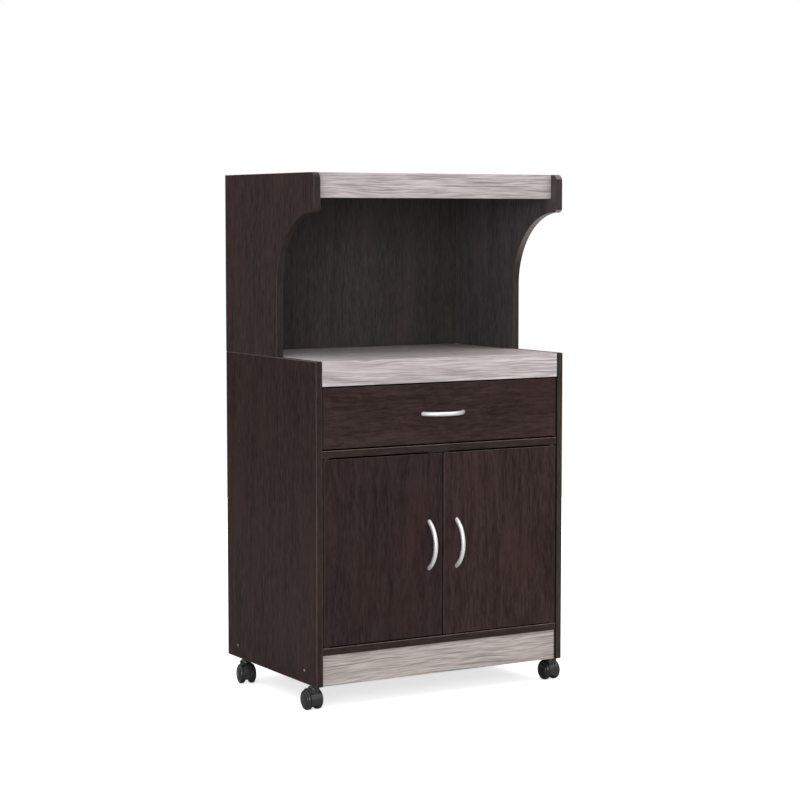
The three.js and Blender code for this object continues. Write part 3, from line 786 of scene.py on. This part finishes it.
def hutch_side(label, side):
    """A hutch side: a board with a concave quarter curve under a nose with two round corners."""
    node = f"hutch_side_{label}"
    low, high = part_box(node)
    foot_y = high.y - CURVE_FOOT_DEPTH
    curve_y = low.y + NOSE_FLAT
    curve_top = high.z - NOSE_HEIGHT - NOSE_DROP
    centre = Vector(((low.x + high.x) / 2, curve_y, curve_top - CURVE_HEIGHT))
    piece = block(f"{node}_board", low, high)
    scoop = rod("scoop", 1, centre - X, centre + X, CURVE_SIDES)
    with shaping(scoop):
        size = (high.x - low.x + 2 * PAST, foot_y - curve_y, CURVE_HEIGHT)
        bpy.ops.transform.resize(value=size, center_override=centre)
    start, end = low - (X + Y) * PAST, high + X * PAST
    under = block("under", start - Z * PAST, (end.x, foot_y, centre.z))
    front = block("front", start, (end.x, curve_y, curve_top))
    carve(piece, scoop, under, front, nose_corner(low, high, high.z, -1, NOSE_TOP_RADIUS),
          nose_corner(low, high, curve_top, 1, NOSE_LOWER_RADIUS))
    with shaping(piece):
        bpy.ops.mesh.remove_doubles(threshold=CURVE_MERGE)
    ease(piece, EDGE_EASE, 3, 50, use_clamp_overlap=False)
    # The left hutch side's narrow sides take a darker copy of the print, painted shade; the right one's a
    # painted reflection on the curve.
    finishes = hutch_left_board if side < 0 else hutch_right_board
    hang_board(piece, node, "cabinet", 2, finishes, ("+y",))
    # Painted light: the inner faces take the lighter, greyer copy of the print.
    refinish(piece, espresso_bay_painted_light, lambda centre, normal: normal.x * side < -0.98)
    if side > 0:
        # Painted highlights on the right nose: a lighter copy of the print on its front and top, a much
        # lighter one on its top round.
        nose = high.z - NOSE_HEIGHT
        refinish(piece, espresso_nose_painted_highlight,
                 lambda centre, normal: centre.z > nose and (normal.y < -0.9 or normal.z > 0.9))
        refinish(piece, espresso_top_painted_highlight, lambda centre, normal: centre.z > nose and 0.35 < normal.z < 0.93)


# Nails hold each back panel along its upper and lower edge. Their heads are sunk in the panel.
NAIL_RADIUS = 2.4 * MM
NAIL_HEIGHT = 0.4 * MM
NAIL_POCKET = 0.6 * MM
NAIL_POCKET_RADIUS = 1.25 * NAIL_RADIUS
NAIL_INSET = 7 * MM
NAILS_IN_ROW = 6


def nail_places(node):
    """The bottoms of the nails' pockets in a back panel's outer face."""
    low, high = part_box(node)
    start, end = low.x + 3 * NAIL_INSET, high.x - 3 * NAIL_INSET
    places = []
    for level in (low.z + NAIL_INSET, high.z - NAIL_INSET):
        for i in range(NAILS_IN_ROW):
            x = start + (end - start) * i / (NAILS_IN_ROW - 1)
            places.append(Vector((x, high.y - NAIL_POCKET, level)))
    return places


def back_panel(node):
    """A thin panel with a dark printed inner face and a bare outer one."""
    piece = ease(block(f"{node}_panel", *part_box(node)), EDGE_EASE, 2)
    for place in nail_places(node):
        carve(piece, rod("pocket", NAIL_POCKET_RADIUS, place, place + Y * PAST, 24))
    hang_board(smooth(piece), node, "cabinet", 2, thin_board)
    refinish(piece, fibre, lambda centre, normal: normal.y > 0.5)


def carcass():
    for label, side in SIDES:
        lower_side(label, side)
        hutch_side(label, side)
    for node in ("shelf_fascia", "hutch_top", "microwave_shelf"):
        plain_board(node, 0, light_board)
    # The hutch fascia takes the darker copy of the oak print, painted shade.
    plain_board("hutch_fascia", 0, upper_board)
    # The kick board takes the darker, warmer copy of the oak print, painted shade.
    plain_board("kick_board", 0, kick_finish)
    for node in ("divider", "bottom_panel"):
        plain_board(node, 0, level_board, width=SILL_EASE)
    for node in ("front_rail", "back_rail"):
        plain_board(node, 0, dark_board, bare_sides=("-y", "+y"))
    plain_board("inner_shelf", 0, dark_board, bare_sides=("-x", "+x", "+y"))
    for node in ("hutch_back", "lower_back"):
        back_panel(node)


# ---- Screws, nails and cams ------------------------------------------------------------------

# A pan head's rounding and the bottom of its cross recess, as shares of its height, and the length and half
# the width of the recess's arms, as shares of its radius.
HEAD_ROUND = 0.7
CROSS_BOTTOM = 0.45
CROSS_ARM = 0.55
CROSS_SLOT = 0.11

# The radius and height of each kind of pan head.
HANDLE_SCREW = (4 * MM, 2 * MM)
BOX_SCREW = (3.2 * MM, 1.0 * MM)
RUNNER_SCREW = (3.2 * MM, 0.9 * MM)
PIVOT_SCREW = (2.9 * MM, 1.1 * MM)
STRIKE_SCREW = (2.2 * MM, 0.5 * MM)

# Where the screws of the drawer box and the cabinet's runners sit, from the ends of the parts they hold.
BOX_SCREW_INSET = 6 * MM
BOX_SCREW_RISE = 32 * MM
BOX_SCREW_DROP = 18 * MM
RUNNER_SCREW_FRONT = 45 * MM
RUNNER_SCREW_BACK = 40 * MM
RUNNER_SCREW_DROP = 8 * MM

CAM_RADIUS = 7.4 * MM
CAM_SINK = 0.9 * MM
CAM_RISE = 0.25 * MM
CAM_STEPS = ((1.1, 0.0), (0.3, -0.35))
CAM_ARM = 4.2 * MM
CAM_SLOT = 0.7 * MM
CAM_SLOT_DEPTH = 0.7 * MM
CAM_END_INSET = 24 * MM
CAM_EDGE_INSET = 60 * MM


def frame_of(place, facing):
    """Where a fitting modelled on the origin and facing +Z goes."""
    return Matrix.Translation(place) @ Vector(facing).to_track_quat("Z", "Y").to_matrix().to_4x4()


def cross_screw(radius, height):
    """A pan head with a cross recess, on the origin and facing +Z."""
    head = rod("head", radius, (0, 0, 0), (0, 0, height), 32)
    round_off(head, height * HEAD_ROUND, 4, lambda a, b: min(a.z, b.z) > height / 2)
    arm, slot = radius * CROSS_ARM, radius * CROSS_SLOT
    for x, y in ((arm, slot), (slot, arm)):
        carve(head, block("slot", (-x, -y, height * CROSS_BOTTOM), (x, y, height + PAST)))
    return smooth(head)


def hex_screw():
    """A flat sunk head with a hexagon socket, its face just under the origin."""
    head = rod("head", SIDE_SCREW_RADIUS, Z * -SIDE_SCREW_HEIGHT, Z * -SIDE_SCREW_SINK, 40)
    round_off(head, SIDE_SCREW_ROUND, 3, lambda a, b: min(a.z, b.z) > -SIDE_SCREW_HEIGHT / 2)
    carve(head, rod("socket", HEX_RADIUS, (0, 0, -HEX_DEPTH), (0, 0, PAST), 6))
    return smooth(head)


def cam_disc():
    """A cam fitting's round face with its cross slot, just proud of the board it is let into."""
    disc = rod("disc", CAM_RADIUS, (0, 0, -CAM_SINK), (0, 0, CAM_RISE), 40)
    with shaping(disc, faces=lambda centre, normal: normal.z > 0.9):
        inset(CAM_STEPS)
    for x, y in ((CAM_ARM, CAM_SLOT), (CAM_SLOT, CAM_ARM)):
        carve(disc, block("slot", (-x, -y, -CAM_SLOT_DEPTH), (x, y, PAST)))
    return smooth(disc)


def fasteners(name, model, places, body, slot, finish):
    """Copies of one fitting at several places, as one piece."""
    made = [copy(model, "fastener", frame_of(place, facing)) for place, facing in places]
    bpy.data.objects.remove(model)
    return fit(gather(name, made), body, slot, finish)


def cabinet_fasteners():
    places = [(place, X * side) for _, side in SIDES for place in side_screw_places(side)]
    fasteners("side_screws", hex_screw(), places, "cabinet", "zinc_steel", zinc)

    cams = []
    for node in ("hutch_top", "microwave_shelf", "divider", "bottom_panel"):
        low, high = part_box(node)
        for x in (low.x + CAM_END_INSET, high.x - CAM_END_INSET):
            for y in (low.y + CAM_EDGE_INSET, high.y - CAM_EDGE_INSET):
                cams.append((Vector((x, y, low.z)), -Z))
    fasteners("cam_fittings", cam_disc(), cams, "cabinet", "zinc_steel", zinc)

    head = rod("nail", NAIL_RADIUS, (0, 0, 0), (0, 0, NAIL_HEIGHT), 20)
    round_off(head, NAIL_HEIGHT / 2, 2, lambda a, b: min(a.z, b.z) > NAIL_HEIGHT / 2)
    nails = [(place, Y) for node in ("hutch_back", "lower_back") for place in nail_places(node)]
    fasteners("back_panel_nails", smooth(head), nails, "cabinet", "zinc_steel", zinc)


# ---- Bow handles -----------------------------------------------------------------------------

def bow_handle(node, along, body):
    """A round bar bent to one arc, standing on a front, its two feet cut flat on the front."""
    low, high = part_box(node)
    front = high.y
    centre = Vector(((low.x + high.x) / 2, front, (low.z + high.z) / 2))
    half = HANDLE_SPACING / 2
    radius = (half * half + HANDLE_RISE * HANDLE_RISE) / (2 * HANDLE_RISE)
    sweep = math.asin(half / radius) + 2 * HANDLE_RADIUS / radius
    pivot = centre + Y * (radius - HANDLE_RISE)
    axis = (-Y).cross(along)
    start = pivot + radius * (-Y * math.cos(sweep) - along * math.sin(sweep))
    tangent = (-Y) * math.sin(sweep) + along * math.cos(sweep)
    bpy.ops.object.select_all(action="DESELECT")
    bpy.ops.mesh.primitive_circle_add(vertices=28, radius=HANDLE_RADIUS, location=start,
                                      rotation=tangent.to_track_quat("Z", "Y").to_euler())
    piece = settle(bpy.context.active_object, f"{node}_bar")
    with shaping(piece):
        bpy.ops.mesh.select_mode(type="VERT")
        bpy.ops.mesh.select_all(action="SELECT")
        bpy.ops.mesh.spin(steps=56, angle=-2 * sweep, center=pivot, axis=axis)
        bpy.ops.mesh.select_all(action="SELECT")
        bpy.ops.mesh.bisect(plane_co=centre, plane_no=Y, use_fill=True, clear_outer=True)
        bpy.ops.mesh.select_all(action="SELECT")
        bpy.ops.mesh.remove_doubles(threshold=MERGE)
        bpy.ops.mesh.normals_make_consistent(inside=False)
    smooth(piece, 50)
    return fit(piece, body, "satin_nickel", nickel, node)


# ---- Doors -----------------------------------------------------------------------------------

def door(label, side):
    node, body = f"door_{label}", f"door_{label}"
    low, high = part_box(node)
    piece = ease(block(f"{node}_board", low, high))
    holes = []
    for end, up in ENDS:
        bush = middle(f"pivot_bush_{end}_{label}")
        level = high.z if up > 0 else low.z
        holes.append(rod("hole", BUSH_HOLE_RADIUS, (bush.x, bush.y, level - up * BUSH_DEPTH),
                         (bush.x, bush.y, level + up * PAST), 40))
    smooth(carve(piece, *holes))
    # The left door's faces take the darker copy of the print, painted shade.
    hang_board(piece, node, body, 2, left_panel if side < 0 else right_panel)
    # Painted highlight: the left door's left narrow side takes the lighter rounded-edge copy of the print.
    if side < 0:
        refinish(piece, espresso_line_painted_highlight, lambda centre, normal: normal.x < -0.9)
    bow_handle(f"door_handle_{label}", Z, body)

    handle = middle(f"door_handle_{label}")
    inside = [(Vector((handle.x, high.y, handle.z + k * HANDLE_SPACING / 2)), Y) for k in (-1, 1)]
    fasteners(f"door_handle_screws_{label}", cross_screw(*HANDLE_SCREW), inside, body, "zinc_steel", zinc)

    meet = high.x if side < 0 else low.x
    plate = Vector((meet + side * STRIKE_INSET, high.y, high.z - STRIKE_DROP))
    face = plate + Y * STRIKE_HEIGHT
    strike = ease(rod("strike", STRIKE_RADIUS, plate, face, 40), METAL_EASE, 2, 60)
    screw = cross_screw(*STRIKE_SCREW)
    screw.matrix_world = frame_of(face, Y)
    settle(screw, "screw")
    fit(gather(f"door_strike_{label}", [strike, screw]), body, "zinc_steel", zinc)

    for end, up in ENDS:
        pivot_bush(end, label, body)
        pivot_plate(end, label, up)


def pivot_bush(end, label, body):
    """A nylon bush in the edge of a door, with a bore for the pivot pin."""
    node = f"pivot_bush_{end}_{label}"
    low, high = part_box(node)
    at = (low + high) / 2
    radius = (high.x - low.x) / 2
    piece = rod(f"{node}_turned", radius, (at.x, at.y, low.z), (at.x, at.y, high.z), 40)
    below, above = (at.x, at.y, low.z - PAST), (at.x, at.y, high.z + PAST)
    carve(piece, rod("bore", PIVOT_PIN_RADIUS + BUSH_SLACK, below, above, 32))
    ease(piece, TURNED_EASE, 2, 60)
    fit(piece, body, "grey_nylon", grey_nylon, node)


def pivot_plate(end, label, up):
    """A pressed plate with a pin on it, held by two screws."""
    node = f"pivot_plate_{end}_{label}"
    low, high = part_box(node)
    face = high.z if up > 0 else low.z
    inner = face - up * RUNNER_SHEET
    plate = block(f"{node}_pressed", (low.x, low.y, min(face, inner)), (high.x, high.y, max(face, inner)))
    round_off(plate, PIVOT_CORNER, 6, lambda a, b: abs(a.z - b.z) > MM)
    ease(plate, METAL_EASE, 2, 60)
    bush = middle(f"pivot_bush_{end}_{label}")
    tip = low.z if up > 0 else high.z
    pin = rod("pin", PIVOT_PIN_RADIUS, (bush.x, bush.y, (face + inner) / 2), (bush.x, bush.y, tip), 32)
    round_off(pin, PIVOT_PIN_ROUND, 3, lambda a, b: abs(a.z - tip) + abs(b.z - tip) < 0.1 * MM)
    smooth(pin)
    weld(plate, pin)
    smooth(plate)
    fit(plate, "cabinet", "bronze_steel", bronze, node)
    screws = []
    for share in PIVOT_SCREW_SHARES:
        place = Vector(((low.x + high.x) / 2, low.y + share * (high.y - low.y), inner))
        screws.append((place, -Z * up))
    head = cross_screw(*PIVOT_SCREW)
    fasteners(f"pivot_screws_{end}_{label}", head, screws, "cabinet", "bronze_steel", bronze)


def door_catch():
    """A magnetic catch: a nylon body with two steel pole strips facing the doors."""
    low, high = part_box("door_catch")
    piece = ease(block("door_catch_body", low, high), PLASTIC_EASE, 3)
    fit(piece, "cabinet", "grey_nylon", grey_nylon, "door_catch")
    strips = []
    for rise in POLE_RISES:
        start = low + Vector((POLE_INSET, -POLE_REACH, rise))
        end = Vector((high.x - POLE_INSET, low.y + PAST, low.z + rise + POLE_THICKNESS))
        strips.append(block("strip", start, end))
    strips = ease(gather("door_catch_poles", strips), POLE_EASE, 2)
    fit(strips, "cabinet", "zinc_steel", zinc)


def shelf_pins():
    """Turned pins in the side boards that the inner shelf lies on."""
    for label, side in SIDES:
        for depth in ("front", "back"):
            node = f"shelf_pin_{depth}_{label}"
            low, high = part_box(node)
            at = (low + high) / 2
            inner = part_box(f"lower_side_{label}")[1 if side < 0 else 0].x
            collar = (high.z - low.z) / 2
            tip = high.x if side < 0 else low.x
            root = low.x if side < 0 else high.x
            piece = rod(f"{node}_turned", PIN_RADIUS, (root, at.y, at.z), (tip, at.y, at.z), 32)
            ring = rod("ring", collar, (inner, at.y, at.z), (inner - side * PIN_COLLAR, at.y, at.z), 40)
            ease(weld(piece, ring), TURNED_EASE, 2, 60)
            fit(piece, "cabinet", "zinc_steel", zinc, node)


# ---- Drawer ----------------------------------------------------------------------------------

def runner(node, body, finish):
    """A drawer runner: the CAD section, with its edges eased."""
    source = frame["nodes"][node]
    piece = source.copy()
    piece.data = source.data.copy()
    bpy.context.scene.collection.objects.link(piece)
    piece.parent = None
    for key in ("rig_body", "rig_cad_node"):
        if key in piece:
            del piece[key]
    settle(piece, f"{node}_section")
    with shaping(piece):
        bpy.ops.mesh.remove_doubles(threshold=MERGE)
        bpy.ops.mesh.dissolve_limited(angle_limit=math.radians(2))
    ease(piece, RUNNER_EASE)
    fit(piece, body, "white_steel", finish, node)


def rollers():
    """A nylon roller at the front of each cabinet runner, and one at the back of each drawer runner."""
    for label, side in SIDES:
        low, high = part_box(f"cabinet_runner_{label}")
        web = high.x if side > 0 else low.x
        slide_low, slide_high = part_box(f"drawer_runner_{label}")
        tongue_z = (slide_low.z + slide_high.z - RUNNER_SHEET) / 2
        start = web - side * (RUNNER_SHEET + ROLLER_GAP)
        lift = RUNNER_SHEET + ROLLER_RADIUS
        fixed = Vector((start, low.y + ROLLER_INSET, low.z + lift + FIXED_ROLLER_GAP))
        moving = Vector((start - side * MOVING_ROLLER_SHIFT, slide_high.y - ROLLER_INSET,
                         tongue_z + lift + ROLLER_GAP))
        for name, place, body in ((f"runner_roller_{label}", fixed, "cabinet"),
                                  (f"drawer_roller_{label}", moving, "drawer")):
            wheel = rod(name, ROLLER_RADIUS, place, place - X * side * ROLLER_WIDTH, 40)
            with shaping(wheel, faces=lambda centre, normal: abs(normal.x) > 0.9):
                inset(ROLLER_STEPS)
            ease(wheel, ROLLER_EASE, 2, 50)
            fit(wheel, body, "white_steel", white_nylon)


def drawer():
    front_low, front_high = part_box("drawer_front")
    bottom_low, bottom_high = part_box("drawer_bottom")
    groove_low, groove_high = grow((bottom_low, bottom_high), GROOVE_SLACK, GROOVE_SLACK, GROOVE_SLACK)
    groove_high.y += GROOVE_RUN_OUT

    def groove():
        return block("groove", groove_low, groove_high)

    piece = carve(block("drawer_front_board", front_low, front_high), groove())
    ease(piece, EDGE_EASE, 3, 60)
    hang_board(piece, "drawer_front", "drawer", 0, front_panel)
    # Painted highlight: the drawer front's left narrow side takes the lighter rounded-edge copy of the print.
    refinish(piece, espresso_line_painted_highlight, lambda centre, normal: normal.x < -0.9)
    for label, _ in SIDES:
        node = f"drawer_side_{label}"
        piece = carve(block(f"{node}_board", *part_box(node)), groove())
        ease(piece, DRAWER_SIDE_EASE, 3, 60)
        hang_board(piece, node, "drawer", 1, foil_board)
        runner(f"cabinet_runner_{label}", "cabinet", white_coat)
        runner(f"drawer_runner_{label}", "drawer", white_coat)
    plain_board("drawer_back", 0, foil_board, "drawer")
    bottom = ease(block("drawer_bottom_panel", bottom_low, bottom_high), SHEET_EASE, 2)
    hang_board(bottom, "drawer_bottom", "drawer", 0, (drawer_foil, fibre, fibre, fibre))
    refinish(bottom, fibre, lambda centre, normal: normal.z < -0.5)

    bow_handle("drawer_handle", X, "drawer")
    handle = middle("drawer_handle")
    inside = [(Vector((handle.x + k * HANDLE_SPACING / 2, front_high.y, handle.z)), Y) for k in (-1, 1)]
    fasteners("drawer_handle_screws", cross_screw(*HANDLE_SCREW), inside, "drawer", "zinc_steel", zinc)

    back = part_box("drawer_back")[1].y
    ends = []
    for label, side in SIDES:
        low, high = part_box(f"drawer_side_{label}")
        outer = low.x if side < 0 else high.x
        for z in (low.z + BOX_SCREW_RISE, high.z - BOX_SCREW_DROP):
            ends.append((Vector((outer, back - BOX_SCREW_INSET, z)), X * side))
    fasteners("drawer_box_screws", cross_screw(*BOX_SCREW), ends, "drawer", "zinc_steel", zinc)

    sunk = []
    for label, side in SIDES:
        low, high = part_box(f"cabinet_runner_{label}")
        web = (high.x if side > 0 else low.x) - side * RUNNER_SHEET
        for y in (low.y + RUNNER_SCREW_FRONT, (low.y + high.y) / 2, high.y - RUNNER_SCREW_BACK):
            sunk.append((Vector((web, y, high.z - RUNNER_SCREW_DROP)), -X * side))
    fasteners("runner_screws", cross_screw(*RUNNER_SCREW), sunk, "cabinet", "zinc_steel", zinc)
    rollers()


# ---- Casters ---------------------------------------------------------------------------------

def crown(rise, depth):
    """Insets that dome the selected face: rise inwards and depth outwards, along a quarter of an ellipse."""
    for i in range(CROWN_STEPS):
        turn, next_turn = (math.pi / 2 * k / CROWN_STEPS for k in (i, i + 1))
        bpy.ops.mesh.inset(thickness=rise * (math.cos(turn) - math.cos(next_turn)),
                           depth=depth * (math.sin(next_turn) - math.sin(turn)))


def caster_wheel():
    """A wheel facing +X from x = 0: a narrow tread, crowned inside, with a rim, a cover and a cap outside."""
    piece = rod("wheel", WHEEL_RADIUS, (INNER_CROWN_DEPTH, 0, 0), (INNER_CROWN_DEPTH + TREAD_WIDTH, 0, 0), 64)
    with shaping(piece, faces=lambda centre, normal: normal.x < -0.999):
        crown(INNER_CROWN_RISE, INNER_CROWN_DEPTH)
    with shaping(piece, faces=lambda centre, normal: normal.x > 0.999):
        crown(*RIM_CROWN)
        inset(RIM_STEPS)
        crown(*COVER_CROWN)
        inset(CAP_STEPS)
    carve(piece, rod("bore", AXLE_RADIUS + AXLE_SLACK, (-PAST, 0, 0), (WHEEL_BORE_DEPTH, 0, 0), 32))
    return smooth(piece, 40)


def caster_hood():
    """The hood of a caster that swivels on the Z axis: a core between the wheels, a fender over their treads,
    a neck round the stem's pin, and the axle. It is cut off level, clear of the floor."""
    axle = Vector((0, TRAIL, AXLE_HEIGHT))
    core_radius = HOOD_RADIUS - HOOD_WALL / 2
    core_reach = X * (HUB_GAP + INNER_CROWN_DEPTH - WHEEL_GAP)
    core = rod("core", core_radius, axle - core_reach, axle + core_reach, 96)
    with shaping(core, faces=lambda centre, normal: abs(normal.x) > 0.9):
        bpy.ops.mesh.inset(thickness=core_radius - WHEEL_RADIUS)
        crown(INNER_CROWN_RISE, -INNER_CROWN_DEPTH)

    half = X * HOOD_WIDTH / 2
    fender = rod("fender", HOOD_RADIUS, axle - half, axle + half, 96)
    round_off(fender, HOOD_ROUND, 5, lambda a, b: abs(a.x - b.x) < 0.1 * MM)
    neck = rod("neck", NECK_RADIUS, (0, 0, AXLE_HEIGHT), (0, 0, HOOD_TOP), 64)
    round_off(neck, NECK_ROUND, 8, lambda a, b: min(a.z, b.z) > HOOD_TOP - 0.1 * MM)
    for part in (fender, neck):
        carve(part, rod("space", HOOD_RADIUS - HOOD_WALL, axle - 2 * half, axle + 2 * half, 96))
    behind = Vector((0, math.sin(HOOD_END), math.cos(HOOD_END)))
    for place, away in ((axle, behind), (Z * HOOD_LIP, -Z)):
        with shaping(fender):
            bpy.ops.mesh.bisect(plane_co=place, plane_no=away, use_fill=True, clear_outer=True)

    axle_reach = X * (HUB_GAP + WHEEL_BORE_DEPTH - AXLE_SLACK)
    bar = rod("bar", AXLE_RADIUS, axle - axle_reach, axle + axle_reach, 32)
    piece = weld(core, fender, neck, bar)
    reach = 2 * HOOD_WIDTH
    below = block("below", (-reach, -reach, -AXLE_HEIGHT), (reach, reach, HOOD_FOOT))
    hole = rod("hole", STEM_PIN_RADIUS, Z * STEM_PIN_END, Z * (HOOD_TOP + PAST), 32)
    return ease(carve(piece, below, hole), HOOD_EASE, 2, 48)


def casters():
    hood, wheel = caster_hood(), caster_wheel()
    for end, turn in (("front", 0.0), ("back", BACK_TURN)):
        for label, side in SIDES:
            name = f"{end}_{label}"
            stem = middle(f"caster_stem_{name}")
            place = Matrix.Translation((stem.x, stem.y, 0)) @ Matrix.Rotation(-side * turn, 4, "Z")
            fit(copy(hood, f"caster_hood_{name}_moulded", place), f"caster_{name}", "black_nylon", nylon,
                f"caster_hood_{name}")
            for hand, way in SIDES:
                seat = place @ Matrix.Translation((way * HUB_GAP, TRAIL, AXLE_HEIGHT))
                if way < 0:
                    seat = seat @ Matrix.Rotation(math.pi, 4, "Z")
                fit(copy(wheel, f"caster_wheel_{hand}_{name}_moulded", seat), f"wheel_{hand}_{name}",
                    "black_nylon", nylon, f"caster_wheel_{hand}_{name}")
            frame["nodes"][f"caster_stem_{name}"].data.materials.clear()
            frame["nodes"][f"caster_stem_{name}"].data.materials.append(zinc)
    for model in (hood, wheel):
        bpy.data.objects.remove(model)


carcass()
cabinet_fasteners()
shelf_pins()
door_catch()
for label, side in SIDES:
    door(label, side)
drawer()
casters()
